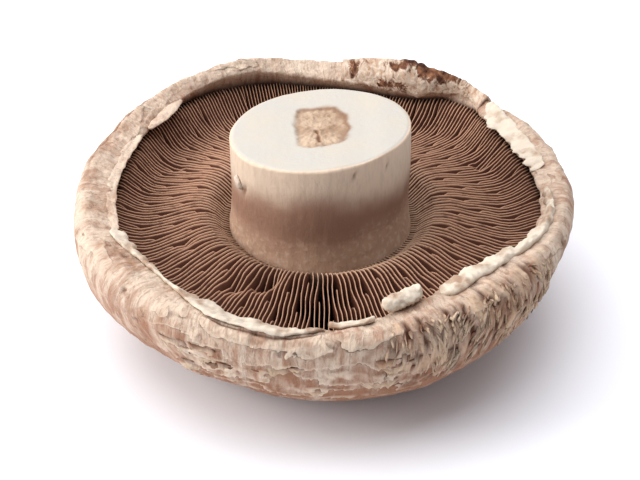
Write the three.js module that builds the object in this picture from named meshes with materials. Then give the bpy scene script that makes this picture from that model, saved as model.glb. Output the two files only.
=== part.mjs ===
// A large open cultivated mushroom, trimmed at the stem and resting on its crown with the gills up.
// Millimetres, +Z up. The origin is on the resting surface, in the middle of the flattened crown.
import * as THREE from 'three';
import { mergeVertices } from 'three/addons/utils/BufferGeometryUtils.js';

// ---- Driving dimensions ----
const CAP_RADIUS = 50; // at its widest, a little under the margin
const CAP_HEIGHT = 29; // from the resting surface to the crest of the rolled margin
const CROWN_FLAT_RADIUS = 14; // the crown is flat where it bears the weight
const LIP_RADIUS = 42.4; // inner lip of the rolled margin
const STEM_RADIUS = 17.7;
const STEM_FLARE = 0.7; // how much the stem widens at the gills
const CUT_HEIGHT = 42.6; // knife cut across the stem, at the stem's axis
const CUT_SLOPE_X = 0.09; // rise of the cut per millimetre, to the right
const CUT_SLOPE_Y = -0.09; // and to the back
const STEM_CENTRE = new THREE.Vector2(-0.4, -0.7);
const STEM_OVAL = 0.008; // share of its radius by which the stem is oval
const STEM_LOBES = 0.006; // and by which it has three soft corners
const BLADES = 88; // gill blades
const BLADE_SHARE = 0.45; // of each pitch is blade, and the rest is the gap beside it
const BLADE_SLOPE = 0.08; // of each pitch is the slope up each side of the blade
const GILL_ROOT = 1.2; // thickness of the sheet of tissue that the blades stand on
const GAP = 0.35; // between pieces that touch

// The cap isn't round. Each list goes once round it, from +X towards +Y, in equal steps.
const WIDEST_RADIUS = [
  50.4, 50.2, 49.0, 48.2, 47.5, 48.9, 50.2, 49.9,
  49.6, 50.2, 50.2, 50.0, 50.0, 50.0, 50.0, 49.8,
];
const LIP_RADII = [
  43.8, 43.2, 44.2, 40.5, 41.4, 45.4, 45.0, 42.2,
  41.5, 42.4, 41.6, 44.6, 44.4, 41.0, 39.6, 43.6,
];
const CREST_HEIGHTS = [
  29, 29, 29, 30.4, 30.6, 31.7, 30, 29,
  29, 29, 29, 28.8, 28.5, 28.8, 29, 29,
];
const WALL_FULLNESS = [
  0.3, 0.2, 0.2, 0.2, 0.2, 0.2, 0.2, 0.2,
  0.2, 0.9, 0.6, 0.55, 0.7, 0.85, 0.7, 0.4,
];

// Half sections of the cap as [radius, height]. The outer wall lies between a slim and a full one.
const SLIM_WALL = [
  [0, 0], [CROWN_FLAT_RADIUS, 0], [26, 1.6], [35, 5.4],
  [42, 11.4], [47.2, 18.4], [50, 25],
];
const FULL_WALL = [
  [0, 0], [CROWN_FLAT_RADIUS, 0], [28, 1.2], [37, 3.8],
  [43.6, 8.6], [48.4, 15.6], [50.2, 23],
];
// The margin rolls in from the widest point: how far from widest (0) to lip (1), and the height.
const MARGIN_ROLL = [[0.08, 27.6], [0.32, 28.9], [0.65, 28.4], [0.95, 27.6], [1, 26.7]];
// Under the lip the wall steps back out, then the flesh runs in to the stem.
const UNDERCUT = [[1.6, 25.4], [2.4, 22.4]]; // radius beyond the lip, and the height
const FLESH = [[40, 18.2], [35, 15.4], [28, 13.8], [20, 13.5], [0, 13.5]];

// The gills' free edges, from the stem out: a low ridge round it, a dip, then a rise towards the lip.
const GILL_EDGE = [
  [19.1, 20.6], [22.5, 23.4], [26, 23.8], [30.5, 22.6],
  [36, 21.5], [39, 21.8], [41.5, 23.4],
];

// ---- Shape helpers ----
// The value of a list at an angle, on a smooth curve through its items.
function aroundCap(values, angle) {
  const count = values.length;
  const place = ((((angle / (2 * Math.PI)) % 1) + 1) % 1) * count;
  const i = Math.floor(place);
  const t = place - i;
  const [a, b, c, d] = [-1, 0, 1, 2].map((k) => values[(i + k + count) % count]);
  const square = 2 * a - 5 * b + 4 * c - d;
  const cube = 3 * b - a - 3 * c + d;
  return 0.5 * (2 * b + (c - a) * t + square * t ** 2 + cube * t ** 3);
}

// Height on a line of [radius, height] points, at a radius.
function heightAt(line, radius) {
  const outward = [...line].sort((p, q) => p[0] - q[0]);
  const next = outward.findIndex((p) => p[0] >= radius);
  if (next < 0) return outward.at(-1)[1];
  if (next === 0) return outward[0][1];
  const [p, q] = [outward[next - 1], outward[next]];
  return THREE.MathUtils.lerp(p[1], q[1], (radius - p[0]) / (q[0] - p[0]));
}

// A closed mesh from a lathe whose half section changes as it turns: sectionAt(angle, column) gives
// [radius, height] points, and angleOf(column) may set the columns at unequal angles.
function latheShape(columns, sectionAt, angleOf = (column) => (column * 2 * Math.PI) / columns) {
  const pointCount = sectionAt(0, 0).length;
  const blank = Array.from({ length: pointCount }, () => new THREE.Vector2(1, 0));
  const geometry = new THREE.LatheGeometry(blank, columns);
  const position = geometry.getAttribute('position');
  for (let i = 0; i <= columns; i += 1) {
    const column = i % columns;
    const angle = angleOf(column);
    sectionAt(angle, column).forEach(([radius, height], j) => {
      position.setXYZ(i * pointCount + j, radius * Math.cos(angle), radius * Math.sin(angle), height);
    });
  }
  return closeSeams(geometry);
}

function closeSeams(geometry) {
  geometry.deleteAttribute('normal');
  geometry.deleteAttribute('uv');
  const closed = mergeVertices(geometry, 1e-4);
  closed.computeVertexNormals();
  return closed;
}

// ---- Cap: skin and flesh, grown as one piece ----
function capSection(angle) {
  const fullness = aroundCap(WALL_FULLNESS, angle);
  const widest = aroundCap(WIDEST_RADIUS, angle);
  const lip = aroundCap(LIP_RADII, angle);
  const rise = aroundCap(CREST_HEIGHTS, angle) / CAP_HEIGHT;
  const wall = SLIM_WALL.map(([radius, height], i) => {
    const r = THREE.MathUtils.lerp(radius, FULL_WALL[i][0], fullness);
    const z = THREE.MathUtils.lerp(height, FULL_WALL[i][1], fullness);
    return i < 2 ? [radius, height] : [(r * widest) / CAP_RADIUS, z * rise];
  });
  const roll = MARGIN_ROLL.map(([share, height]) => {
    return [THREE.MathUtils.lerp(widest, lip, share), height * rise];
  });
  const under = UNDERCUT.map(([beyond, height]) => [lip + beyond, height]);
  const flesh = FLESH.map(([radius, height]) => [(radius * lip) / LIP_RADIUS, height]);
  return [...wall, ...roll, ...under, ...flesh];
}

const cap = latheShape(72, capSection);

// ---- Gills: radial blades standing on a thin sheet of tissue ----
// The surface they grow from is the flesh, with the foot of the undercut.
const GILL_BED = [[LIP_RADIUS + UNDERCUT[1][0], UNDERCUT[1][1]], ...FLESH];
const GILL_RADII = [STEM_RADIUS + STEM_FLARE + 0.7, 22.5, 26, 30.5, 37, 41.5]; // where each blade bends
const COLUMNS_PER_BLADE = 4;

function gillSection(angle, column) {
  const isBlade = column % COLUMNS_PER_BLADE >= 2;
  const lipScale = aroundCap(LIP_RADII, angle) / LIP_RADIUS;
  // The inner end stands round the stem, which is off the cap's middle, and the outer end follows the lip.
  const [inner, outer] = [GILL_RADII[0], GILL_RADII.at(-1)];
  const stemOffset = STEM_CENTRE.x * Math.cos(angle) + STEM_CENTRE.y * Math.sin(angle);
  const radii = GILL_RADII.map((r) => {
    const share = (r - inner) / (outer - inner);
    return THREE.MathUtils.lerp(r + stemOffset, r * lipScale, share);
  });
  const under = radii.map((r) => [r, heightAt(GILL_BED, r / lipScale) + GAP]);
  const edge = radii.map((r, i) => {
    const top = heightAt(GILL_EDGE, GILL_RADII[i]);
    return [r, isBlade ? top : under[i][1] + GILL_ROOT];
  });
  return [...under, ...edge.reverse(), under[0]];
}

function bladeAngle(column) {
  const pitch = (2 * Math.PI) / BLADES;
  const steps = [0, 1 - BLADE_SHARE - BLADE_SLOPE, 1 - BLADE_SHARE, 1 - BLADE_SLOPE];
  const step = steps[column % COLUMNS_PER_BLADE];
  return (Math.floor(column / COLUMNS_PER_BLADE) + step) * pitch;
}

const gills = latheShape(BLADES * COLUMNS_PER_BLADE, gillSection, bladeAngle);

// ---- Stem: seated on the flesh in the middle of the gills, cut across with a knife ----
const STEM_FOOT = FLESH.at(-1)[1] + GAP;
// Its side from the foot up, as [radius beyond the stem's, height], then its edge at the cut, as
// [radius beyond the stem's, depth below the cut].
const STEM_SIDE = [
  [0.1, STEM_FOOT], [STEM_FLARE, 16], [STEM_FLARE, 19.5], [0.2, 22.5],
  [-0.15, 27], [0, 34],
];
const STEM_EDGE = [[0.1, 1.2], [-0.4, 0]];

function stemSection(angle) {
  const girth = 1 + STEM_OVAL * Math.cos(2 * angle + 0.6) + STEM_LOBES * Math.cos(3 * angle);
  const radius = STEM_RADIUS * girth;
  const cut = (r) => {
    const [x, y] = [r * Math.cos(angle), r * Math.sin(angle)];
    return CUT_HEIGHT + CUT_SLOPE_X * x + CUT_SLOPE_Y * y;
  };
  const side = STEM_SIDE.map(([beyond, height]) => [radius + beyond, height]);
  const edge = STEM_EDGE.map(([beyond, depth]) => [radius + beyond, cut(radius) - depth]);
  const face = [radius / 2, 0].map((r) => [r, cut(r)]);
  return [[0, STEM_FOOT], ...side, ...edge, ...face];
}

const stem = latheShape(48, stemSection);
stem.translate(STEM_CENTRE.x, STEM_CENTRE.y, 0);

// ---- Torn tissue along the margin ----
// Each remnant is a rounded strip laid along the margin from one angle to another, in degrees. inward is
// how far its middle lies from the widest point (0) towards the lip (1), and lift raises it above the roll.
const REMNANTS = [
  { name: 'veil_strip_left', from: 199, to: 269, inward: 0.86, lift: 1.35, halfWide: 1.6, halfHigh: 0.7 },
  { name: 'veil_scrap_front', from: 271.5, to: 283, inward: 0.82, lift: 1.5, halfWide: 1.2, halfHigh: 0.9 },
  { name: 'veil_curl_front', from: 285, to: 297.5, inward: 0.92, lift: 2.6, halfWide: 1.8, halfHigh: 1.7 },
  { name: 'veil_strip_right', from: 302, to: 359, inward: 0.86, lift: 1.6, halfWide: 1.8, halfHigh: 1.0 },
  { name: 'veil_frill_back', from: 8, to: 43, inward: 0.86, lift: 1.2, halfWide: 1.6, halfHigh: 0.6 },
  { name: 'torn_skin_flap', from: 50, to: 79, inward: 0.52, lift: 1.9, halfWide: 4.2, halfHigh: 1.3 },
];
const STRIP_SIDES = 8;
const STRIP_STEP = 3; // millimetres along the margin

function marginStrip({ from, to, inward, lift, halfWide, halfHigh }) {
  const [start, end] = [from, to].map(THREE.MathUtils.degToRad);
  const length = (end - start) * LIP_RADIUS;
  const tipRadius = Math.max(halfWide, halfHigh);
  const steps = Math.max(3, Math.round(length / STRIP_STEP));
  const strip = new THREE.CapsuleGeometry(1, length / tipRadius - 2, 2, STRIP_SIDES, steps);
  const position = strip.getAttribute('position');
  for (let i = 0; i < position.count; i += 1) {
    const angle = (start + end) / 2 + (position.getY(i) * tipRadius) / LIP_RADIUS;
    const [widest, lip] = [aroundCap(WIDEST_RADIUS, angle), aroundCap(LIP_RADII, angle)];
    const middle = THREE.MathUtils.lerp(widest, lip, inward);
    const bed = (aroundCap(CREST_HEIGHTS, angle) / CAP_HEIGHT) * heightAt(MARGIN_ROLL, inward);
    const radius = middle + position.getX(i) * halfWide;
    const height = bed + lift + position.getZ(i) * halfHigh;
    position.setXYZ(i, radius * Math.cos(angle), radius * Math.sin(angle), height);
  }
  return closeSeams(strip);
}

// ---- The mushroom ----
const skinFinish = new THREE.MeshStandardMaterial({ color: 0xd2ad8e, roughness: 0.75, metalness: 0 });
const gillFinish = new THREE.MeshStandardMaterial({ color: 0x7a4c3a, roughness: 0.85, metalness: 0 });
const stemFinish = new THREE.MeshStandardMaterial({ color: 0xe6dccb, roughness: 0.7, metalness: 0 });
const veilFinish = new THREE.MeshStandardMaterial({ color: 0xefe6d6, roughness: 0.8, metalness: 0 });
const tornFinish = new THREE.MeshStandardMaterial({ color: 0xa97b5c, roughness: 0.85, metalness: 0 });

const mushroom = new THREE.Group();

function addPiece(name, geometry, finish) {
  const piece = new THREE.Mesh(geometry, finish);
  piece.name = name;
  mushroom.add(piece);
}

addPiece('cap', cap, skinFinish);
addPiece('gills', gills, gillFinish);
addPiece('stem', stem, stemFinish);
REMNANTS.forEach((remnant) => {
  const finish = remnant.name === 'torn_skin_flap' ? tornFinish : veilFinish;
  addPiece(remnant.name, marginStrip(remnant), finish);
});

export default mushroom;
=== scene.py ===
import math
import random

import bmesh
import bpy
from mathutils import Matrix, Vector, noise


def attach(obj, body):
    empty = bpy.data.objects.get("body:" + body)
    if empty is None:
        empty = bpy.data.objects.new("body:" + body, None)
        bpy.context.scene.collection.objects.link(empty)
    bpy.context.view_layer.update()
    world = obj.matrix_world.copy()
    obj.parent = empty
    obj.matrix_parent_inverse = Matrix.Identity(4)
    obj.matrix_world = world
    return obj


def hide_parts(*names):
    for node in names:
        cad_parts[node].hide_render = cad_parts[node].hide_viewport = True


# A large open cultivated mushroom, lying on its crown with the gills up and its stem cut short.
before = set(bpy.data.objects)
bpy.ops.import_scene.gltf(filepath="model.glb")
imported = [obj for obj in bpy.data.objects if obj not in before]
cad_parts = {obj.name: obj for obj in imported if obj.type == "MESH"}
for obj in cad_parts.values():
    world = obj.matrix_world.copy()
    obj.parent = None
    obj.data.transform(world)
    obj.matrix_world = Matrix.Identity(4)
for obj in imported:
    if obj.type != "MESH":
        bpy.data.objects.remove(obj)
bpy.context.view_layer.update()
MM = 0.001


# ---- The table, the light and the view ----
# A plain white table that fades into the background, under a very wide light from above that leaves
# only a soft shadow round the cap. A second panel stands on the left, so the stem's right is in shade.
def linear(colour):
    """An sRGB hex colour as linear red, green, blue and alpha."""
    parts = [int(colour[i : i + 2], 16) / 255 for i in (1, 3, 5)]
    return tuple(c / 12.92 if c <= 0.04045 else ((c + 0.055) / 1.055) ** 2.4 for c in parts) + (1.0,)


def add_node(tree, kind, inputs=(), **settings):
    """Adds a node with its settings. inputs gives each input a value, or the socket that feeds it."""
    node = tree.nodes.new("ShaderNode" + kind)
    for key, value in settings.items():
        setattr(node, key, value)
    for key, value in dict(inputs).items():
        if isinstance(value, bpy.types.NodeSocket):
            tree.links.new(value, node.inputs[key])
        else:
            node.inputs[key].default_value = value
    return node


def new_finish(name):
    """An empty material, with its node tree and its output node."""
    finish = bpy.data.materials.new(name)
    finish.use_nodes = True
    finish.node_tree.nodes.clear()
    return finish, finish.node_tree, finish.node_tree.nodes.new("ShaderNodeOutputMaterial")


TABLE_SIZE = 6.0
table_paper, tree, output = new_finish("matte_white_paper")
shader = add_node(tree, "BsdfPrincipled", {"Base Color": linear("#f6f7fc"), "Roughness": 0.9})
tree.links.new(shader.outputs["BSDF"], output.inputs["Surface"])
shape = bmesh.new()
bmesh.ops.create_grid(shape, x_segments=1, y_segments=1, size=TABLE_SIZE / 2)
table_mesh = bpy.data.meshes.new("table")
shape.to_mesh(table_mesh)
shape.free()
table_mesh.materials.append(table_paper)
table = bpy.data.objects.new("table", table_mesh)
bpy.context.scene.collection.objects.link(table)

room = bpy.data.worlds.new("white_room")
room.use_nodes = True
room.node_tree.nodes["Background"].inputs["Color"].default_value = linear("#f8f9fd")
room.node_tree.nodes["Background"].inputs["Strength"].default_value = 0.40
bpy.context.scene.world = room
bpy.context.scene.view_settings.view_transform = "Standard"

# Each light: where it stands, how wide it is, its power in watts and its colour.
MIDDLE = Vector((0, 0, 0.02))
LIGHTS = {
    "overhead_panel": ((-0.10, 0.18, 0.90), 1.20, 12.5, "#fdfdff"),
    "left_panel": ((-0.90, -0.05, 0.42), 0.60, 9.4, "#fffdfa"),
}
for name, (place, width, watts, colour) in LIGHTS.items():
    lamp = bpy.data.lights.new(name, "AREA")
    lamp.size = width
    lamp.energy = watts
    lamp.color = linear(colour)[:3]
    stand = bpy.data.objects.new(name, lamp)
    stand.location = place
    stand.rotation_euler = (MIDDLE - Vector(place)).to_track_quat("-Z", "Y").to_euler()
    bpy.context.scene.collection.objects.link(stand)

VIEW_RISE = math.radians(36)
VIEW_DISTANCE = 0.347
VIEW_AIM = Vector((-0.33, -14.4, 25.4)) * MM
lens = bpy.data.cameras.new("view")
lens.lens = 100
lens.sensor_width = 36
camera = bpy.data.objects.new("view", lens)
camera.location = VIEW_AIM + VIEW_DISTANCE * Vector((0, -math.cos(VIEW_RISE), math.sin(VIEW_RISE)))
camera.rotation_euler = (math.pi / 2 - VIEW_RISE, 0, 0)
bpy.context.scene.collection.objects.link(camera)
bpy.context.scene.camera = camera


# ---- Cap: skin and flesh ----
# The cap is one body of firm flesh in a thin dry skin, rolled over at the margin. It isn't round,
# so its section changes as it turns. Millimetres, once round from +X towards +Y in equal steps.
CAP_RADIUS = 50
CAP_HEIGHT = 29
CROWN_FLAT_RADIUS = 14
LIP_RADIUS = 42.4
WIDEST_RADIUS = [
    50.4, 50.2, 49.0, 48.2, 47.5, 48.9, 50.2, 49.9,
    49.6, 50.2, 50.2, 50.0, 50.0, 50.0, 50.0, 49.8,
]
LIP_RADII = [
    43.8, 43.2, 44.2, 40.5, 41.4, 45.4, 45.0, 42.2,
    41.5, 42.4, 41.6, 44.6, 44.4, 41.0, 39.6, 43.6,
]
# At the back right the lip is torn away outwards, below the flap: where, how wide, how far.
LIP_TEAR_ANGLE, LIP_TEAR_DEGREES, LIP_TEAR = math.radians(50), 7.5, 3.6
CREST_HEIGHTS = [
    29, 29, 29, 30.4, 30.6, 31.7, 30, 29,
    29, 29, 29, 28.8, 28.5, 28.8, 29, 29,
]
WALL_FULLNESS = [
    0.3, 0.2, 0.2, 0.2, 0.2, 0.2, 0.2, 0.2,
    0.2, 0.9, 0.6, 0.55, 0.7, 0.85, 0.7, 0.4,
]
SLIM_WALL = [
    (0, 0), (CROWN_FLAT_RADIUS, 0), (26, 1.6), (35, 5.4),
    (42, 11.4), (47.2, 18.4), (50, 25),
]
FULL_WALL = [
    (0, 0), (CROWN_FLAT_RADIUS, 0), (28, 1.2), (37, 3.8),
    (43.6, 8.6), (48.4, 15.6), (50.2, 23),
]
MARGIN_ROLL = [(0.08, 27.6), (0.32, 28.9), (0.65, 28.4), (0.95, 27.6), (1, 26.7)]
UNDERCUT = [(1.6, 25.4), (2.4, 22.4)]
THIN_WALL = 2.2  # the least flesh left between the undercut and the outside of the wall
FLESH = [(40, 18.2), (35, 15.4), (28, 13.8), (20, 13.5), (0, 13.5)]
ROWS_BETWEEN = [2, 5, 10, 14, 18, 20, 9, 9, 11, 10, 3, 3, 3, 3, 2, 2, 2, 1]
CAP_COLUMNS = 640


def mix(a, b, t):
    return a + (b - a) * t


def rise(low, high, value):
    """Goes smoothly from 0 at low to 1 at high."""
    t = min(1.0, max(0.0, (value - low) / (high - low)))
    return t * t * (3 - 2 * t)


def curve_through(a, b, c, d, t):
    """A point between b and c on the smooth curve through four points."""
    start = 2 * b + (c - a) * t
    return 0.5 * (start + (2 * a - 5 * b + 4 * c - d) * t**2 + (3 * b - a - 3 * c + d) * t**3)


def round_cap(values, angle):
    """The value of a list at an angle, on a smooth curve through its items."""
    place = (angle / math.tau) % 1 * len(values)
    i = int(place)
    four = [values[(i + k) % len(values)] for k in (-1, 0, 1, 2)]
    return curve_through(*four, place - i)


def height_on(line, radius):
    """Height at a radius on a line of (radius, height) points that runs outwards."""
    for (r0, z0), (r1, z1) in zip(line, line[1:]):
        if radius <= r1:
            return mix(z0, z1, max(0.0, (radius - r0) / (r1 - r0)))
    return line[-1][1]


def lip_radius(angle):
    """Radius of the margin's inner lip. It is torn away outwards at the back right, below the flap."""
    off_tear = math.degrees(angle - LIP_TEAR_ANGLE + math.pi) % 360 - 180
    return round_cap(LIP_RADII, angle) + LIP_TEAR * math.exp(-((off_tear / LIP_TEAR_DEGREES) ** 2))


def bump(angle, radius, at_angle, at_radius, wide, long=None):
    """1 at a place on the mushroom's plan, fading out over wide millimetres across and long along."""
    across = math.radians((angle - at_angle + 180) % 360 - 180) * max(radius, 1)
    along = radius - at_radius
    return math.exp(-((across / wide) ** 2) - (along / (long or wide)) ** 2)


def wander(x, y, z, size, seed=0):
    """Smooth noise from about -1 to 1 with features of that size in millimetres."""
    return noise.noise(Vector((x / size + 17.3 * seed, y / size - 9.1 * seed, z / size + 4.7 * seed)))


def cap_line(angle):
    """The cap's section at an angle, as control points of radius and height."""
    fullness = round_cap(WALL_FULLNESS, angle)
    widest = round_cap(WIDEST_RADIUS, angle)
    lip = lip_radius(angle)
    lift = round_cap(CREST_HEIGHTS, angle) / CAP_HEIGHT
    line = []
    for i, (slim, full) in enumerate(zip(SLIM_WALL, FULL_WALL)):
        r, z = mix(slim[0], full[0], fullness), mix(slim[1], full[1], fullness)
        line.append(slim if i < 2 else (r * widest / CAP_RADIUS, z * lift))
    line += [(mix(widest, lip, share), height * lift) for share, height in MARGIN_ROLL]
    line += [(min(lip + beyond, widest - THIN_WALL), height) for beyond, height in UNDERCUT]
    line += [(radius * lip / LIP_RADIUS, height) for radius, height in FLESH]
    return [Vector(point) for point in line]


def on_line(line, place):
    """The point a number of control points along a section."""
    i = min(int(place), len(line) - 2)
    four = [line[max(i - 1, 0)], line[i], line[i + 1], line[min(i + 2, len(line) - 1)]]
    return curve_through(*four, place - i)


def skin_point(angle, place):
    """A point of the smooth skin in space, and the direction straight out of it."""
    line = cap_line(angle)
    here = on_line(line, place)
    way = on_line(line, place + 0.05) - here
    out = Vector((way.y * math.cos(angle), way.y * math.sin(angle), -way.x)).normalized()
    return Vector((here.x * math.cos(angle), here.x * math.sin(angle), here.y)), out


def from_points(point, marks):
    """The strongest of some soft round marks at a point, from 0 to 1."""
    return max(math.exp(-(((point - at).length / size) ** 2)) for at, size in marks)


# Where the skin is pitted or stained: angle in degrees, place along the section, size in millimetres.
PITS = [
    (207.5, 9.2, 0.6), (212, 9.3, 0.7), (224, 5.95, 0.4), (226.5, 5.9, 0.4), (222, 6.9, 0.6),
    (310, 7.5, 1.6), (312, 6.9, 1.3), (316, 6.5, 1.1), (301, 7.1, 1.0), (292, 7.2, 0.9), (340, 6.6, 0.7),
]
STAINS = [
    (160, 7.6, 2.4), (166, 7.2, 2.6), (174, 7.8, 2.4), (178, 8.6, 1.6), (273, 8.6, 1.8), (279, 6.6, 2.2),
    (290, 7.8, 2.4), (300, 6.9, 2.6), (309, 7.2, 3.0), (315, 6.7, 2.6), (222, 6.5, 2.0), (196, 6.4, 2.2),
    (340, 6.6, 2.4), (104, 7.8, 2.0), (122, 7.9, 1.6),
]
pits = [(skin_point(math.radians(angle), place)[0], size) for angle, place, size in PITS]
stains = [(skin_point(math.radians(angle), place)[0], size) for angle, place, size in STAINS]
# The gap under the outer edge of the veil on the front left, grooved into the skin and darkened with a painted
# shadow: angle in degrees and radius.
STRIP_GAP = [(243, 47.3), (248, 48.2), (254, 48.6), (260, 49.0), (266, 48.2), (272, 46.0)]
LEDGE_STEP = 0.62  # how much the layer field grows from one torn edge to the next


def between(degrees, start, full, fading, end):
    """1 over a stretch of the way round, fading to 0 at both ends."""
    return rise(start, full, degrees) * (1 - rise(fading, end, degrees))


def skin_relief(angle, place, down, point):
    """Millimetres the skin stands proud, and what its finish needs to know at that point."""
    degrees = math.degrees(angle) % 360
    x, y, z = point
    wall = rise(2.3, 3.6, place) * (1 - rise(10.6, 11.3, place))
    frayed = between(degrees, 281, 288, 317, 342) * rise(4.2, 5.6, place)
    frayed *= 1 - 0.7 * rise(8.0, 8.8, place)
    scaly = between(degrees, 226, 240, 282, 296) * rise(3.8, 4.8, place)
    scaly *= 1 - rise(7.0, 7.8, place)
    scaly = max(scaly, 0.45 * rise(0.05, 0.3, wander(x, y, z, 14, 8)) * rise(3.2, 4.4, place))
    drift = 0.035 * wander(x, y, down, 13, 1) + 0.012 * wander(x, y, down, 5, 2)
    fx, fy = CAP_RADIUS * math.cos(angle + drift), CAP_RADIUS * math.sin(angle + drift)
    lumps = 0.34 * wander(x, y, z, 12, 3) + 0.26 * wander(x, y, z, 5, 4) + 0.12 * wander(x, y, z, 2.2, 9)
    tuft = wander(fx, fy, down * 0.20, 1.5, 5) + 0.6 * wander(fx, fy, down * 0.30, 1.0, 6)
    layer = (27.5 - z) / 7 + 0.6 * wander(fx, fy, down * 2.4, 9, 7)
    layer += 0.20 * wander(fx, fy, down * 1.5, 3.1, 10)
    layer += 0.11 * wander(fx, fy, down, 1.2, 12)
    ledge = (layer / LEDGE_STEP) % 1
    rim = rise(7.0, 7.8, place) * (1 - rise(10.8, 11.4, place))
    crumple = wander(fx, fy, down * 0.7, 3.0, 13) + 0.6 * wander(fx, fy, down, 1.3, 14)
    pit = from_points(point, pits) * rise(-0.5, 0.25, wander(x, y, z, 0.9, 19))
    seam = math.exp(-(((place - 7.5 - 0.5 * wander(x, y, 0, 6, 16)) / 0.20) ** 2))
    seam *= between(degrees, 56, 68, 160, 178) * rise(-0.8, -0.3, wander(x, y, 0, 7, 17))
    # The gap under the veil strip's outer edge: a groove in the skin, darkened as a painted shadow.
    under_strip = math.exp(-(((math.hypot(x, y) - height_on(STRIP_GAP, degrees)) / 0.3) ** 2))
    under_strip *= between(degrees, 241, 247, 268, 272) * rise(7, 7.4, place)
    # This darkening is painted shade in pits, grooves and under the veil strip, and the real brown line of the
    # seam along the rim.
    hollow_and_shadow = max(pit, 0.85 * under_strip, frayed * rise(0.05, 0.50, -tuft), 0.75 * seam)
    relief = wall * (lumps + (0.10 + 0.50 * frayed) * tuft + 0.55 * scaly * ledge**3)
    relief += 0.38 * rim * crumple - 0.9 * pit - 0.45 * seam - 0.35 * under_strip
    stain = from_points(point, stains) * rise(-0.35, 0.25, wander(x, y, z, 1.7, 15) + 0.5 * crumple)
    stain = max(stain, frayed * (0.45 + 0.3 * wander(fx, fy, down * 0.5, 4, 18)))
    return relief, {"layer": layer, "scaly": scaly * wall, "hollow_and_shadow": hollow_and_shadow, "stain": stain,
                    "tuft": tuft * frayed, "under_gills": rise(11.0, 12.2, place)}, (fx, fy, down)


def spun_blank(rows, columns):
    """A closed cylinder of unit radius, one millimetre between rows, to be moved into shape."""
    shape = bmesh.new()
    row_layer = shape.verts.layers.int.new("row")
    line = []
    for row in range(rows):
        on_axis = row in (0, rows - 1)
        vert = shape.verts.new((0 if on_axis else 1, 0, row))
        vert[row_layer] = row
        line.append(vert)
    edges = [shape.edges.new(pair) for pair in zip(line, line[1:])]
    bmesh.ops.spin(
        shape, geom=line + edges, cent=(0, 0, 0), axis=(0, 0, 1), dvec=(0, 0, 0),
        angle=math.tau, steps=columns, use_merge=True, use_duplicate=False,
    )
    bmesh.ops.remove_doubles(shape, verts=shape.verts, dist=1e-5)
    return shape, row_layer


def finish_piece(shape, name, material, slot, *nodes):
    """Makes a bmesh a named piece that rides on the mushroom and stands for its CAD nodes."""
    bmesh.ops.recalc_face_normals(shape, faces=shape.faces)
    mesh = bpy.data.meshes.new(name)
    shape.to_mesh(mesh)
    shape.free()
    mesh.materials.append(material)
    mesh.shade_smooth()
    piece = bpy.data.objects.new(name, mesh)
    bpy.context.scene.collection.objects.link(piece)
    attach(piece, "root")
    if nodes:
        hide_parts(*nodes)


def fibre_layers(shape):
    """Adds the attributes the skin's finish reads to a shape."""
    names = ("layer", "scaly", "hollow_and_shadow", "stain", "tuft", "under_gills")
    fibre = shape.verts.layers.float_vector.new("along_fibre")
    return fibre, {name: shape.verts.layers.float.new(name) for name in names}


shape, row_layer = spun_blank(sum(ROWS_BETWEEN) + 1, CAP_COLUMNS)
fibre_layer, skin_layers = fibre_layers(shape)
row_places = [i + k / rows for i, rows in enumerate(ROWS_BETWEEN) for k in range(rows)]
row_places.append(len(ROWS_BETWEEN))
sections = {}
for vert in shape.verts:
    row = vert[row_layer]
    column = round(math.atan2(vert.co.y, vert.co.x) / math.tau * CAP_COLUMNS) % CAP_COLUMNS
    angle = column * math.tau / CAP_COLUMNS
    if column not in sections:
        line = cap_line(angle)
        points = [on_line(line, place) for place in row_places]
        downs = [0.0]
        for here, there in zip(points, points[1:]):
            downs.append(downs[-1] + (there - here).length)
        sections[column] = points, downs
    points, downs = sections[column]
    (radius, height), way = points[row], points[min(row + 1, len(points) - 1)] - points[max(row - 1, 0)]
    out = Vector((way.y * math.cos(angle), way.y * math.sin(angle), -way.x)).normalized()
    point = Vector((radius * math.cos(angle), radius * math.sin(angle), height))
    relief, marks, fibre = skin_relief(angle, row_places[row], downs[row], point)
    point += relief * out
    vert.co = Vector((point.x, point.y, max(0.0, point.z))) * MM
    vert[fibre_layer] = fibre
    for key, value in marks.items():
        vert[skin_layers[key]] = value

# Dry mushroom skin: matte and felted. The outer layer is cream and ends in ragged edges, over a
# pinkish tan layer with fine fibres. Stains and the seam along the rim are brown. Pits, the grooves
# between tufts and the gap under the veil strip are darkened as painted shade, and each ragged edge
# carries a painted highlight on its lip and a painted shadow line below its drop.
# The pattern's sizes are in millimetres. Real hairs are about a tenth of a millimetre wide, and are
# drawn as coarse as they need to be to show.
TONGUE_SIZE, HAIR_SIZE, CLOUD_SIZE, SPECK_SIZE, CRUMB_SIZE = 2.381, 0.5263, 6.667, 1.923, 0.7692
FIBRE_SQUEEZE = 0.22  # fibres are drawn out along their length by one over this
skin_finish, tree, output = new_finish("dry_fibrous_mushroom_skin")
fibres = add_node(tree, "Attribute", attribute_name="along_fibre")
long_way = add_node(tree, "Mapping", {"Vector": fibres.outputs["Vector"], "Scale": (1, 1, FIBRE_SQUEEZE)})
tongue = add_node(tree, "TexNoise", {"Vector": long_way.outputs["Vector"], "Scale": 1 / TONGUE_SIZE, "Detail": 5.0,
                                     "Roughness": 0.6, "Distortion": 0.2})
hair = add_node(tree, "TexNoise", {"Vector": long_way.outputs["Vector"], "Scale": 1 / HAIR_SIZE, "Detail": 4.0,
                                   "Roughness": 0.62, "Distortion": 0.5})
place_on = add_node(tree, "TexCoord")
blotch = add_node(tree, "TexNoise", {"Vector": place_on.outputs["Object"], "Scale": 1 / (CLOUD_SIZE * MM),
                                     "Detail": 5.0, "Roughness": 0.6})
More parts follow.
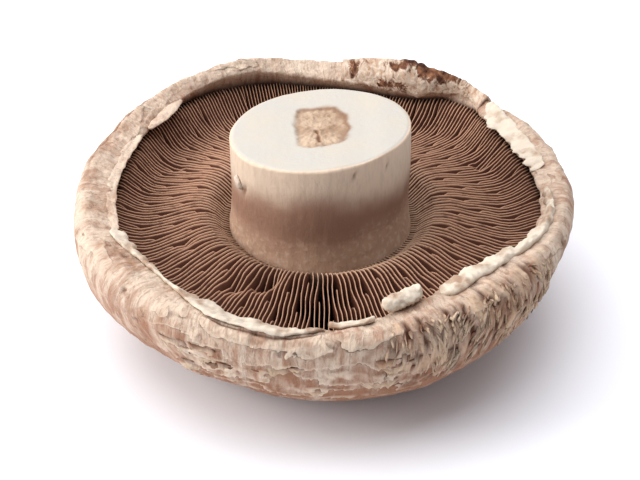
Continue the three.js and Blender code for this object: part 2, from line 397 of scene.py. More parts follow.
crumb = add_node(tree, "TexNoise", {"Vector": place_on.outputs["Object"], "Scale": 1 / (CRUMB_SIZE * MM),
                                    "Detail": 4.0})
layer = add_node(tree, "Attribute", attribute_name="layer")
tongues = add_node(tree, "MapRange", {"Value": tongue.outputs["Fac"], "From Min": 0.3, "From Max": 0.7,
                                      "To Min": -1.5, "To Max": 1.5})
depth = add_node(tree, "Math", {0: layer.outputs["Fac"], 1: tongues.outputs["Result"]}, operation="ADD")
bare = add_node(tree, "MapRange", {"Value": depth.outputs["Value"], "From Min": -0.2, "From Max": 1.9})
ground = add_node(tree, "MixRGB", {"Fac": bare.outputs["Result"], "Color1": linear("#cbb6a3"),
                                   "Color2": linear("#9a6f57")})
pale = add_node(tree, "MapRange", {"Value": blotch.outputs["Fac"], "From Min": 0.54, "From Max": 0.68,
                                   "To Max": 0.5})
clouded = add_node(tree, "MixRGB", {"Fac": pale.outputs["Result"], "Color1": ground.outputs["Color"],
                                    "Color2": linear("#d8c6b3")})
tan = add_node(tree, "MapRange", {"Value": blotch.outputs["Fac"], "From Min": 0.48, "From Max": 0.36,
                                  "To Max": 0.6})
mottled = add_node(tree, "MixRGB", {"Fac": tan.outputs["Result"], "Color1": clouded.outputs["Color"],
                                    "Color2": linear("#9a7157")})
hairs = add_node(tree, "MapRange", {"Value": hair.outputs["Fac"], "From Min": 0.52, "From Max": 0.64,
                                    "To Max": 0.42})
haired = add_node(tree, "MixRGB", {"Fac": hairs.outputs["Result"], "Color1": mottled.outputs["Color"],
                                   "Color2": linear("#80583f")})
speck = add_node(tree, "TexNoise", {"Vector": place_on.outputs["Object"], "Scale": 1 / (SPECK_SIZE * MM),
                                    "Detail": 4.0, "Roughness": 0.7, "Distortion": 0.8})
specks = add_node(tree, "MapRange", {"Value": speck.outputs["Fac"], "From Min": 0.58, "From Max": 0.64,
                                     "To Max": 0.9})
stain = add_node(tree, "Attribute", attribute_name="stain")
tan_part = add_node(tree, "Math", {0: tan.outputs["Result"], 1: 0.3}, operation="MAXIMUM")
dirty = add_node(tree, "Math", {0: tan_part.outputs["Value"], 1: stain.outputs["Fac"]},
                 operation="MAXIMUM")
speck_share = add_node(tree, "Math", {0: specks.outputs["Result"], 1: dirty.outputs["Value"]},
                       operation="MULTIPLY")
specked = add_node(tree, "MixRGB", {"Fac": speck_share.outputs["Value"], "Color1": haired.outputs["Color"],
                                    "Color2": linear("#5f3a28")})
stain_share = add_node(tree, "MapRange", {"Value": stain.outputs["Fac"], "To Max": 0.7})
stained = add_node(tree, "MixRGB", {"Fac": stain_share.outputs["Result"], "Color1": specked.outputs["Color"],
                                    "Color2": linear("#7d5239")})
step = add_node(tree, "Math", {0: layer.outputs["Fac"], 1: LEDGE_STEP}, operation="DIVIDE")
ledge = add_node(tree, "Math", {0: step.outputs["Value"]}, operation="FRACT")
scaly = add_node(tree, "Attribute", attribute_name="scaly")
# A painted shadow line just below each torn edge's drop, where the raised layer would cast shade.
crack = add_node(tree, "MapRange", {"Value": ledge.outputs["Value"], "From Min": 0.0, "From Max": 0.13,
                                    "To Min": 1.0, "To Max": 0.0})
broken = add_node(tree, "MapRange", {"Value": blotch.outputs["Fac"],
                                     "From Min": 0.42, "From Max": 0.55})
ledge_shadow_share = add_node(tree, "Math", {0: crack.outputs["Result"], 1: scaly.outputs["Fac"]},
                       operation="MULTIPLY")
ledge_shadow_seen = add_node(tree, "Math", {0: ledge_shadow_share.outputs["Value"], 1: broken.outputs["Result"]},
                      operation="MULTIPLY")
# A painted highlight on the raised lip just before each torn edge's drop.
ledge_highlight = add_node(tree, "MapRange", {"Value": ledge.outputs["Value"],
                                        "From Min": 0.72, "From Max": 1.0})
ledge_highlight_share = add_node(tree, "Math", {0: ledge_highlight.outputs["Result"], 1: scaly.outputs["Fac"]},
                     operation="MULTIPLY")
ledge_highlighted = add_node(tree, "MixRGB", {"Fac": ledge_highlight_share.outputs["Value"], "Color1": stained.outputs["Color"],
                                   "Color2": linear("#d9c5b0")})
ledge_shadowed = add_node(tree, "MixRGB", {"Fac": ledge_shadow_seen.outputs["Value"], "Color1": ledge_highlighted.outputs["Color"],
                                    "Color2": linear("#4c2f22")})
tuft = add_node(tree, "Attribute", attribute_name="tuft")
crest = add_node(tree, "MapRange", {"Value": tuft.outputs["Fac"], "From Min": 0.12, "From Max": 0.6,
                                    "To Max": 0.6})
crested = add_node(tree, "MixRGB", {"Fac": crest.outputs["Result"], "Color1": ledge_shadowed.outputs["Color"],
                                    "Color2": linear("#d2b698")})
# Darkened where the skin is sunk: painted shade in pits, grooves and under the veil strip, and the brown seam
# along the rim.
hollow_and_shadow = add_node(tree, "Attribute", attribute_name="hollow_and_shadow")
sunk_and_shadowed = add_node(tree, "MixRGB", {"Fac": hollow_and_shadow.outputs["Fac"], "Color1": crested.outputs["Color"],
                                 "Color2": linear("#52301f")})
under = add_node(tree, "Attribute", attribute_name="under_gills")
skin_colour = add_node(tree, "MixRGB", {"Fac": under.outputs["Fac"], "Color1": sunk_and_shadowed.outputs["Color"],
                                        "Color2": linear("#3a211a")})
fine = add_node(tree, "Math", {0: hair.outputs["Fac"], 1: crumb.outputs["Fac"]}, operation="ADD")
drop = add_node(tree, "Math", {0: ledge.outputs["Value"], 1: scaly.outputs["Fac"]}, operation="MULTIPLY")
with_drop = add_node(tree, "Math", {0: fine.outputs["Value"], 1: drop.outputs["Value"]}, operation="ADD")
relief_node = add_node(tree, "Bump", {"Height": with_drop.outputs["Value"], "Strength": 0.8,
                                      "Distance": 0.4 * MM})
shader = add_node(tree, "BsdfPrincipled", {
    "Base Color": skin_colour.outputs["Color"], "Roughness": 0.8, "Specular IOR Level": 0.25,
    "Subsurface Weight": 0.08, "Subsurface Radius": (1.0, 0.55, 0.35), "Subsurface Scale": 1 * MM,
    "Normal": relief_node.outputs["Normal"],
})
tree.links.new(shader.outputs["BSDF"], output.inputs["Surface"])
finish_piece(shape, "cap_skin", skin_finish, "cap_skin", "cap")


# ---- Loose scales and shreds of skin ----
# The outer skin peels off in thin plates, each held by one end and free at the other. At the front
# right they have torn into long shreds that hang from the margin.
SCALE_THICK = 0.2
WIDE_SCALES, ALL_SCALES = 22, 240
MM_PER_PLACE = 7.2  # about how far apart the control points of the wall are
plate = bmesh.new()
bmesh.ops.create_grid(plate, x_segments=4, y_segments=5, size=1)
bmesh.ops.recalc_face_normals(plate, faces=plate.faces)
bmesh.ops.solidify(plate, geom=plate.faces, thickness=1)
plate_mesh = bpy.data.meshes.new("one_plate")
plate.to_mesh(plate_mesh)
plate.free()


def add_scale(shape, layers, angle, place, size, lift, lean, seed):
    """Adds one thin plate, held at its upper end. The free lower end lifts, and is ragged."""
    fibre, marks_of = layers
    wide, long = size
    shape.from_mesh(plate_mesh)
    shape.verts.ensure_lookup_table()
    for vert in shape.verts[-len(plate_mesh.vertices):]:
        across, along, depth = vert.co.x, (vert.co.y + 1) / 2, abs(vert.co.z)
        ragged = 1 + 0.5 * wander(across * 2 + seed, 0, 0, 0.9, 71)
        narrow = 1 - 0.6 * along**2
        turn = angle + (across * wide / 2 * narrow + lean * along * long) / CAP_RADIUS
        reach = place - along * long * ragged / MM_PER_PLACE
        point, out = skin_point(turn, reach)
        relief = skin_relief(turn, reach, point.z, point)[0]
        curl = lift * along**2 * (1 + 0.4 * wander(across + seed, along, 0, 0.9, 72))
        curl -= 0.15 * (1 - along)
        point += out * (relief + curl + 0.2 - 0.2 * across**2 - SCALE_THICK * depth)
        vert.co = point * MM
        vert[fibre] = Vector((CAP_RADIUS * math.cos(turn), CAP_RADIUS * math.sin(turn), point.z))
        vert[marks_of["layer"]] = 0.2 + 0.3 * wander(seed, 0, 0, 0.7, 73) + 0.7 * (1 - along)
        vert[marks_of["tuft"]] = 0.7 * along
        vert[marks_of["stain"]] = 0.35 * (1 - along)
        # The held end of each plate is darkened as painted shade where it meets the skin.
        vert[marks_of["hollow_and_shadow"]] = 0.5 * (1 - along) ** 2


chance = random.Random(11)
shape = bmesh.new()
layers = fibre_layers(shape)
for number in range(WIDE_SCALES):
    angle = math.radians(chance.uniform(234, 286))
    size = (chance.uniform(3.0, 6.5), chance.uniform(1.2, 2.4))
    add_scale(shape, layers, angle, chance.uniform(5.0, 6.3), size, chance.uniform(0.1, 0.35),
              chance.uniform(-0.3, 0.3), number)
for number in range(WIDE_SCALES, ALL_SCALES):
    degrees = chance.uniform(284, 333)
    angle = math.radians(degrees)
    size = (chance.uniform(0.3, 0.9), chance.uniform(2.5, 6.0))
    lean = 0.7 * wander(degrees, 0, 0, 9, 74) + chance.uniform(-0.25, 0.25) - 0.15
    add_scale(shape, layers, angle, chance.uniform(5.5, 7.9), size, chance.uniform(0.05, 0.45),
              lean, number)
bpy.data.meshes.remove(plate_mesh)
finish_piece(shape, "skin_scales", skin_finish, "cap_skin")


# ---- Stem ----
# Firm pale flesh, grown from the middle of the cap and cut across with a knife. Its side is finely
# streaked along its length, and the cut shows a patch of spongy pith in the middle.
STEM_RADIUS = 17.7
STEM_CENTRE = Vector((-0.4, -0.7))
STEM_FLARE = 0.7
STEM_OVAL = 0.008
STEM_LOBES = 0.006
STEM_FOOT = FLESH[-1][1] + 0.35
CUT_HEIGHT = 42.6
CUT_SLOPE_X = 0.09
CUT_SLOPE_Y = -0.09
STEM_SIDE = [(0.1, STEM_FOOT), (STEM_FLARE, 16), (STEM_FLARE, 19.5), (0.2, 22.5), (-0.15, 27), (0, 34)]
SIDE_ROWS = 70
FACE_ROWS = 64
STEM_COLUMNS = 260
# The pith's outline on the cut, in millimetres from the mushroom's axis.
PITH = [(-5.0, 9.5), (4.2, 8.9), (6.8, -0.6), (5.4, -6.6), (-4.2, -9.3), (-5.8, 1.6)]
CRACK = [(-0.7, -0.2), (-0.2, -2.6), (0.1, -5.2)]


def into_outline(x, y, outline):
    """About how far a point lies inside an outline whose corners are rounded. Negative is outside."""
    total = 0.0
    for (ax, ay), (bx, by) in zip(outline, outline[1:] + outline[:1]):
        inside = ((bx - ax) * (y - ay) - (by - ay) * (x - ax)) / -math.hypot(bx - ax, by - ay)
        total += math.exp(-max(-20, inside))
    return -math.log(total)


def from_line(x, y, line):
    """Millimetres from a point to a line of points."""
    nearest = 1e9
    for (ax, ay), (bx, by) in zip(line, line[1:]):
        along = ((x - ax) * (bx - ax) + (y - ay) * (by - ay)) / ((bx - ax) ** 2 + (by - ay) ** 2)
        along = min(1.0, max(0.0, along))
        nearest = min(nearest, math.hypot(x - mix(ax, bx, along), y - mix(ay, by, along)))
    return nearest


STEM_MARKS = ("pith", "pith_ring", "cut_face", "bruise", "foot", "scuff")
# The bruise starts at this height, and higher in front: how much, at what angle and how wide.
BRUISE_TOP, BRUISE_PEAK, BRUISE_PEAK_AT, BRUISE_PEAK_WIDE = 34.8, 2.9, 269, 26
# Nicks and scuffs in the side: angle in degrees, height, size and depth in millimetres.
NICKS = [(292, 42.0, 0.32, 0.5), (317, 41.5, 0.26, 0.3), (215, 34.6, 0.5, 0.4)]
shape, row_layer = spun_blank(SIDE_ROWS + FACE_ROWS + 2, STEM_COLUMNS)
stem_layers = {key: shape.verts.layers.float.new(key) for key in STEM_MARKS}
side_layer = shape.verts.layers.float_vector.new("along_stem")
for vert in shape.verts:
    row = vert[row_layer]
    angle = math.atan2(vert.co.y, vert.co.x)
    degrees = math.degrees(angle) % 360
    girth = STEM_RADIUS * (1 + STEM_OVAL * math.cos(2 * angle + 0.6) + STEM_LOBES * math.cos(3 * angle))
    cos, sin = math.cos(angle), math.sin(angle)
    rim_height = CUT_HEIGHT + CUT_SLOPE_X * girth * cos + CUT_SLOPE_Y * girth * sin
    pith, ring, face, scuff = 0.0, 0.0, 0.0, 0.0
    if row <= SIDE_ROWS:
        share = max(0, row - 1) / (SIDE_ROWS - 1)
        height = mix(STEM_FOOT, rim_height - 0.35, share)
        radius = 0.0
        if row:
            radius = girth + height_on([(z, r) for r, z in STEM_SIDE], height)
            radius += 0.06 * wander(cos * 20, sin * 20, height * 0.12, 1.6, 11)
            radius += 0.32 * wander(cos * 17, sin * 17, height * 0.6, 9, 12)
            radius += 0.12 * wander(cos * 17, sin * 17, height, 1.7, 19) * rise(30, 18, height)
            for at_angle, at_height, size, deep in NICKS:
                across = math.radians(degrees - at_angle) * girth
                along = height - at_height
                near = math.exp(-(((across - 0.3 * along) / size) ** 2) - (along / size / 3) ** 2)
                radius -= deep * near
                scuff = max(scuff, 0.7 * near)
    else:
        share = 1 - (row - SIDE_ROWS - 1) / FACE_ROWS
        radius = (girth - 0.25) * share
        x, y = radius * cos, radius * sin
        edge = wander(x, y, 0, 2.6, 13) * 0.7 + wander(x, y, 0, 0.9, 14) * 0.15 - 0.3
        deep = into_outline(x, y, PITH) + edge
        pith = rise(-0.5, 0.8, deep)
        ring = math.exp(-(((deep - 0.2) / 0.55) ** 2)) * rise(-9, 6, x + y * 0.6)
        grain = wander(x, y, 0, 0.9, 15) + 0.6 * wander(x, y, 0, 0.45, 16)
        crack = math.exp(-((from_line(x, y, CRACK) + 0.3 * wander(x, y, 0, 1.2, 17)) / 0.3) ** 2)
        height = CUT_HEIGHT + CUT_SLOPE_X * x + CUT_SLOPE_Y * y
        height += 0.12 * wander(x, y * 0.25, 0, 5, 18) - pith * (0.35 - 0.3 * grain) - 0.6 * crack * pith
        height -= 0.22 * rise(0.975, 1.0, share)
        face = rise(0.0, 0.012, 1 - share)
        scuff = crack * pith
    band_end = BRUISE_TOP + BRUISE_PEAK * math.exp(-(((degrees - BRUISE_PEAK_AT) / BRUISE_PEAK_WIDE) ** 2))
    blur = 2.2 * wander(cos * 17, sin * 17, height * 0.8, 8, 20)
    blur += wander(cos * 17, sin * 17, height, 2.5, 24)
    flat = STEM_CENTRE + Vector((radius * cos, radius * sin))
    vert.co = Vector((flat.x, flat.y, height)) * MM
    vert[stem_layers["pith"]] = pith
    vert[stem_layers["pith_ring"]] = ring
    vert[stem_layers["cut_face"]] = face
    vert[stem_layers["bruise"]] = rise(3.4, -3.6, height - band_end + 0.7 * blur)
    vert[stem_layers["foot"]] = rise(30.5, 22.5, height + blur - 2.5 * math.cos(angle))
    vert[stem_layers["scuff"]] = scuff
    vert[side_layer] = Vector((STEM_RADIUS * cos, STEM_RADIUS * sin, height))

# Fresh stem flesh: smooth and matte, cream above, bruised mauve brown in the middle of its length and
# grainy tan at the foot. The cut is paler, and the pith is spongy and tan with a browner edge.
# Sizes are in millimetres. The real strands and grain are finer, and are drawn coarse enough to show.
STRAND_SIZE, GRAIN_SIZE, FLESH_CLOUD_SIZE = 0.7692, 0.9091, 6.25
STRAND_SQUEEZE = 0.2
stem_finish, tree, output = new_finish("cut_mushroom_flesh")
side = add_node(tree, "Attribute", attribute_name="along_stem")
threads = add_node(tree, "Mapping", {"Vector": side.outputs["Vector"], "Scale": (1, 1, STRAND_SQUEEZE)})
strand = add_node(tree, "TexNoise", {"Vector": threads.outputs["Vector"], "Scale": 1 / STRAND_SIZE, "Detail": 6.0,
                                     "Roughness": 0.6})
place_on = add_node(tree, "TexCoord")
grain = add_node(tree, "TexNoise", {"Vector": place_on.outputs["Object"], "Scale": 1 / (GRAIN_SIZE * MM),
                                    "Detail": 4.0})
cloud = add_node(tree, "TexNoise", {"Vector": place_on.outputs["Object"],
                                    "Scale": 1 / (FLESH_CLOUD_SIZE * MM), "Detail": 4.0})
bruise = add_node(tree, "Attribute", attribute_name="bruise")
upper = add_node(tree, "MixRGB", {"Fac": bruise.outputs["Fac"], "Color1": linear("#d6bfa9"),
                                  "Color2": linear("#9c7763")})
foot = add_node(tree, "Attribute", attribute_name="foot")
lower = add_node(tree, "MixRGB", {"Fac": foot.outputs["Fac"], "Color1": upper.outputs["Color"],
                                  "Color2": linear("#bd9a82")})
strands = add_node(tree, "MapRange", {"Value": strand.outputs["Fac"], "From Min": 0.46, "From Max": 0.70,
                                      "To Max": 0.18})
streaked = add_node(tree, "MixRGB", {"Fac": strands.outputs["Result"], "Color1": lower.outputs["Color"],
                                     "Color2": linear("#7f5c4a")})
grainy = add_node(tree, "MapRange", {"Value": grain.outputs["Fac"], "From Min": 0.5, "From Max": 0.7})
grain_share = add_node(tree, "Math", {0: grainy.outputs["Result"], 1: foot.outputs["Fac"]},
                       operation="MULTIPLY")
peppered = add_node(tree, "MixRGB", {"Fac": grain_share.outputs["Value"], "Color1": streaked.outputs["Color"],
                                     "Color2": linear("#cbb09a")})
clouds = add_node(tree, "MapRange", {"Value": cloud.outputs["Fac"], "From Min": 0.4, "From Max": 0.65})
cut = add_node(tree, "MixRGB", {"Fac": clouds.outputs["Result"], "Color1": linear("#bab5ad"),
                                "Color2": linear("#beb6aa")})
face = add_node(tree, "Attribute", attribute_name="cut_face")
soft = add_node(tree, "MixRGB", {"Fac": face.outputs["Fac"], "Color1": peppered.outputs["Color"],
                                 "Color2": cut.outputs["Color"]})
pith = add_node(tree, "Attribute", attribute_name="pith")
crumbs = add_node(tree, "MapRange", {"Value": cloud.outputs["Fac"], "From Min": 0.38, "From Max": 0.6})
spongy = add_node(tree, "MixRGB", {"Fac": crumbs.outputs["Result"], "Color1": linear("#967a63"),
                                   "Color2": linear("#bda58e")})
pith_soft = add_node(tree, "MixRGB", {"Fac": pith.outputs["Fac"], "Color1": soft.outputs["Color"],
                                      "Color2": spongy.outputs["Color"]})
ring = add_node(tree, "Attribute", attribute_name="pith_ring")
ring_share = add_node(tree, "MapRange", {"Value": ring.outputs["Fac"], "To Max": 0.85})
ringed = add_node(tree, "MixRGB", {"Fac": ring_share.outputs["Result"], "Color1": pith_soft.outputs["Color"],
                                   "Color2": linear("#7a5437")})
scuff = add_node(tree, "Attribute", attribute_name="scuff")
stem_colour = add_node(tree, "MixRGB", {"Fac": scuff.outputs["Fac"], "Color1": ringed.outputs["Color"],
                                        "Color2": linear("#7d5840")})
on_side = add_node(tree, "Math", {0: 1.0, 1: face.outputs["Fac"]}, operation="SUBTRACT")
side_strand = add_node(tree, "Math", {0: strand.outputs["Fac"], 1: on_side.outputs["Value"]},
                       operation="MULTIPLY")
fine = add_node(tree, "Math", {0: side_strand.outputs["Value"], 1: grain.outputs["Fac"]}, operation="ADD")
relief_node = add_node(tree, "Bump", {"Height": fine.outputs["Value"], "Strength": 0.4,
                                      "Distance": 0.25 * MM})
shader = add_node(tree, "BsdfPrincipled", {
    "Base Color": stem_colour.outputs["Color"], "Roughness": 0.65, "Specular IOR Level": 0.3,
    "Subsurface Weight": 0.12, "Subsurface Radius": (1.0, 0.7, 0.5), "Subsurface Scale": 1.5 * MM,
    "Normal": relief_node.outputs["Normal"],
})
tree.links.new(shader.outputs["BSDF"], output.inputs["Surface"])
finish_piece(shape, "cut_stem", stem_finish, "stem_flesh", "stem")

# A flake of flesh that the knife left hanging on the left of the stem.
FLAKE_ANGLE, FLAKE_HEIGHT = math.radians(209), 35.6
shape = bmesh.new()
bmesh.ops.create_uvsphere(shape, u_segments=20, v_segments=14, radius=1)
for key in STEM_MARKS:
    shape.verts.layers.float.new(key)
face_layer = shape.verts.layers.float["cut_face"]
side_layer = shape.verts.layers.float_vector.new("along_stem")
for vert in shape.verts:
    lump = 1 + 0.35 * wander(vert.co.x, vert.co.y, vert.co.z, 0.8, 25)
    turn = FLAKE_ANGLE + vert.co.x * lump * 1.3 / STEM_RADIUS
    reach = STEM_RADIUS + 0.3 + 0.7 * vert.co.y * lump
    height = FLAKE_HEIGHT + 0.9 * vert.co.z * lump - 0.7 * vert.co.x
    flat = STEM_CENTRE + reach * Vector((math.cos(turn), math.sin(turn)))
    vert.co = Vector((flat.x, flat.y, height)) * MM
    vert[face_layer] = 0.5
    vert[side_layer] = vert.co / MM
finish_piece(shape, "stem_flake", stem_finish, "stem_flesh")


# ---- Gills ----
# Thin blades of brown tissue that run from the stem to the margin, with shorter ones between them.
# Each stands on the flesh, is thinner at its free edge, and waves a little as its neighbours do.
GILL_EDGE = [(19.1, 20.6), (22.5, 23.4), (26, 23.8), (30.5, 22.6), (36, 21.5), (39, 22.0), (43, 23.6)]
GILL_BED = [(0, 13.5), (20, 13.5), (28, 13.8), (35, 15.4), (40, 18.2), (46, 22.4)]
GILL_MARGIN_RISE = 2.4  # how much higher the ends stand at the back, where they meet the lip
LONG_GILLS = 168
GILL_STATIONS = 16
EDGE_THICK = 0.14
FOOT_THICK = 0.34
INNER_END = STEM_RADIUS + STEM_FLARE - 0.3
# Knots that the blades part around: angle in degrees, radius, how far they part, and how wide.
KNOTS = [(151, 35.5, 0.25, 3.6), (245, 26.5, 0.4, 2.4)]
# Places where the blades are torn down: angle, radius, depth and size.
TEARS = [
    (245, 26.3, 5.5, 2.2), (236, 29.5, 2.4, 2.0), (28, 38, 1.6, 1.3), (204, 29.3, 0.9, 1.3),
    (151, 35, 1.0, 1.2),
]


def smooth_height(line, radius):
    """Height at a radius on the smooth curve through (radius, height) points that run outwards."""
    for i, ((r0, _), (r1, _)) in enumerate(zip(line, line[1:])):
        if radius <= r1 or i == len(line) - 2:
            t = min(1.0, max(0.0, (radius - r0) / (r1 - r0)))
            four = [line[min(max(i + k, 0), len(line) - 1)][1] for k in (-1, 0, 1, 2)]
            return curve_through(*four, t)


def crowded(share):
    """The angle of a blade from its share of the way round: they stand closer at the back."""
    angle = math.tau * share
    return angle + 0.15 * math.cos(angle) + 0.05 * math.sin(2 * angle)


# Where each short blade starts. At every radius the blades move over so that the gaps stay even.
FIRST_START, START_SPREAD, GOLDEN_STEP = 20, 20, 0.618
SHORT_STARTS = [FIRST_START + START_SPREAD * (i * GOLDEN_STEP % 1) for i in range(LONG_GILLS)]
FIRST_RADIUS, LAST_RADIUS = 17, 49
blade_shares = []
for radius in range(FIRST_RADIUS, LAST_RADIUS + 1):
    weights = [w for start in SHORT_STARTS for w in (1.0, rise(start + 1, start + 5.5, radius))]
    passed, places = 0.0, []
    for k, weight in enumerate(weights):
        places.append(passed / sum(weights))
        passed += (weight + weights[(k + 1) % len(weights)]) / 2
    drift = sum(place - k / len(weights) for k, place in enumerate(places)) / len(weights)
    blade_shares.append([place - drift for place in places])


def blade_angle(number, radius):
    """The angle at which a blade passes a radius, before it sways."""
    step = min(max(radius - FIRST_RADIUS, 0), LAST_RADIUS - FIRST_RADIUS - 0.001)
    here, there = blade_shares[int(step)][number], blade_shares[int(step) + 1][number]
    return crowded(mix(here, there, step - int(step)))


def blade_sway(angle, radius, seed):
    """Millimetres a blade is pushed sideways at a radius."""
    x, y = radius * math.cos(angle), radius * math.sin(angle)
    sway = 0.60 * wander(x, y, 0, 12, 21) + 0.12 * wander(x, y, 0, 4.5, 22)
    sway += 0.08 * wander(radius, seed * 3.1, 0, 3.0, 23)
    sway *= rise(19, 27, radius) * (1 - 0.55 * rise(0.6, 0.95, -math.sin(angle)))
    degrees = math.degrees(angle) % 360
    for at_angle, at_radius, part, size in KNOTS:
        across = math.radians((degrees - at_angle + 180) % 360 - 180) * radius
        near = math.exp(-((across / size) ** 2) - ((radius - at_radius) / (size * 1.3)) ** 2)
        sway += 1.8 * part * across / size * near
    return sway


blade = bmesh.new()
bmesh.ops.create_cube(blade, size=1)
long_edges = [e for e in blade.edges if abs((e.verts[0].co - e.verts[1].co).x) > 0.5]
bmesh.ops.subdivide_edges(blade, edges=long_edges, cuts=GILL_STATIONS - 1, use_grid_fill=True)
blade_mesh = bpy.data.meshes.new("one_blade")
blade.to_mesh(blade_mesh)
blade.free()


def add_blades(short):
    """One ring of blades. The short ones start at various places, and rise out of the flesh."""
    shape = bmesh.new()
    edge_layer = shape.verts.layers.float.new("to_edge")
    done = 0
    for i in range(LONG_GILLS):
        angle = blade_angle(2 * i + short, 40)
        seed = i + 1000 * short
        cos, sin = math.cos(angle), math.sin(angle)
        end = min(lip_radius(angle) + 0.9, round_cap(WIDEST_RADIUS, angle) - THIN_WALL)
        scale = end / (LIP_RADIUS + 0.9)
        start = SHORT_STARTS[i] if short else INNER_END + STEM_CENTRE.x * cos + STEM_CENTRE.y * sin
        taller = 1 + 0.006 * wander(seed, 0, 0, 1.3, 32)
        shape.from_mesh(blade_mesh)
        shape.verts.ensure_lookup_table()
        for vert in shape.verts[done:]:
            share = vert.co.x + 0.5
            radius = mix(start, end, share)
            angle = blade_angle(2 * i + short, radius)
            cos, sin = math.cos(angle), math.sin(angle)
            plain = radius / mix(1, scale, rise(24, 43, radius))
            bed = height_on(GILL_BED, plain)
            top = smooth_height(GILL_EDGE, plain) * taller
            top += GILL_MARGIN_RISE * rise(37, 43, plain) * rise(-0.2, 0.6, sin)
            top += 0.13 * wander(radius * 1.2, seed * 5.7, 0, 2.6, 33)
            if short:
                top = mix(bed + 0.2, top - 0.05, rise(-1.0, 6.0, radius - start))
            for at_angle, at_radius, depth, size in TEARS:
                top -= depth * bump(math.degrees(angle), radius, at_angle, at_radius, size)
            is_edge = vert.co.z > 0
            thick = (EDGE_THICK if is_edge else FOOT_THICK) * (0.55 + 0.45 * rise(0, 0.1, share))
            sway = blade_sway(angle, radius, seed) + thick * (0.5 if vert.co.y > 0 else -0.5)
            if is_edge:
                sway += 0.20 * wander(radius * cos, radius * sin, 9, 6, 34)
            turn = angle + sway / radius
            height = max(top, bed + 0.2) if is_edge else bed - 0.4
            vert.co = Vector((radius * math.cos(turn), radius * math.sin(turn), height)) * MM
            vert[edge_layer] = 1.0 if is_edge else 0.0
        done = len(shape.verts)
    return shape


# Dry gill tissue: matte, chestnut on the sides of the blades and a pinkish tan along the free edges,
# which are paler by the stem. Down between the blades the colour is darkened nearly to black as
# painted shade.
# Sizes are in millimetres, and the speckle is drawn coarser than the spores, which are far too fine.
SPECKLE_SIZE, GILL_PATCH_SIZE = 1.667, 14.286
gill_finish, tree, output = new_finish("ripe_gill_tissue")
to_edge = add_node(tree, "Attribute", attribute_name="to_edge")
place_on = add_node(tree, "TexCoord")
metres = add_node(tree, "SeparateXYZ", {"Vector": place_on.outputs["Object"]})
flat_place = add_node(tree, "CombineXYZ", {"X": metres.outputs["X"], "Y": metres.outputs["Y"]})
reach = add_node(tree, "VectorMath", {0: flat_place.outputs["Vector"]}, operation="LENGTH")
by_stem = add_node(tree, "MapRange", {"Value": reach.outputs["Value"], "From Min": 26 * MM,
                                      "From Max": 19 * MM})
speckle = add_node(tree, "TexNoise", {"Vector": place_on.outputs["Object"],
                                      "Scale": 1 / (SPECKLE_SIZE * MM), "Detail": 3.0})
patch = add_node(tree, "TexNoise", {"Vector": place_on.outputs["Object"],
                                    "Scale": 1 / (GILL_PATCH_SIZE * MM), "Detail": 2.0})
flank = add_node(tree, "MixRGB", {"Fac": patch.outputs["Fac"], "Color1": linear("#45271c"),
                                  "Color2": linear("#623c2c")})
# Darker down towards the foot of each blade: painted shade between the blades.
depth = add_node(tree, "MapRange", {"Value": to_edge.outputs["Fac"], "From Min": 0.0, "From Max": 0.7})
shaded = add_node(tree, "MixRGB", {"Fac": depth.outputs["Result"], "Color1": linear("#2a1610"),
                                   "Color2": flank.outputs["Color"]})
edge_tint = add_node(tree, "MixRGB", {"Fac": by_stem.outputs["Result"], "Color1": linear("#c3987d"),
                                      "Color2": linear("#dab89c")})
at_edge = add_node(tree, "MapRange", {"Value": to_edge.outputs["Fac"],
                                      "From Min": 0.955, "From Max": 1.0})
edged = add_node(tree, "MixRGB", {"Fac": at_edge.outputs["Result"], "Color1": shaded.outputs["Color"],
                                  "Color2": edge_tint.outputs["Color"]})
specks = add_node(tree, "MapRange", {"Value": speckle.outputs["Fac"], "From Min": 0.52, "From Max": 0.75,
                                     "To Max": 0.5})
gill_colour = add_node(tree, "MixRGB", {"Fac": specks.outputs["Result"], "Color1": edged.outputs["Color"],
                                        "Color2": linear("#4a2a1f")})
relief_node = add_node(tree, "Bump", {"Height": speckle.outputs["Fac"], "Strength": 0.3,
                                      "Distance": 0.15 * MM})
shader = add_node(tree, "BsdfPrincipled", {
    "Base Color": gill_colour.outputs["Color"], "Roughness": 0.85, "Specular IOR Level": 0.2,
    "Normal": relief_node.outputs["Normal"],
})
tree.links.new(shader.outputs["BSDF"], output.inputs["Surface"])
finish_piece(add_blades(False), "long_gills", gill_finish, "gills", "gills")
finish_piece(add_blades(True), "short_gills", gill_finish, "gills")
bpy.data.meshes.remove(blade_mesh)


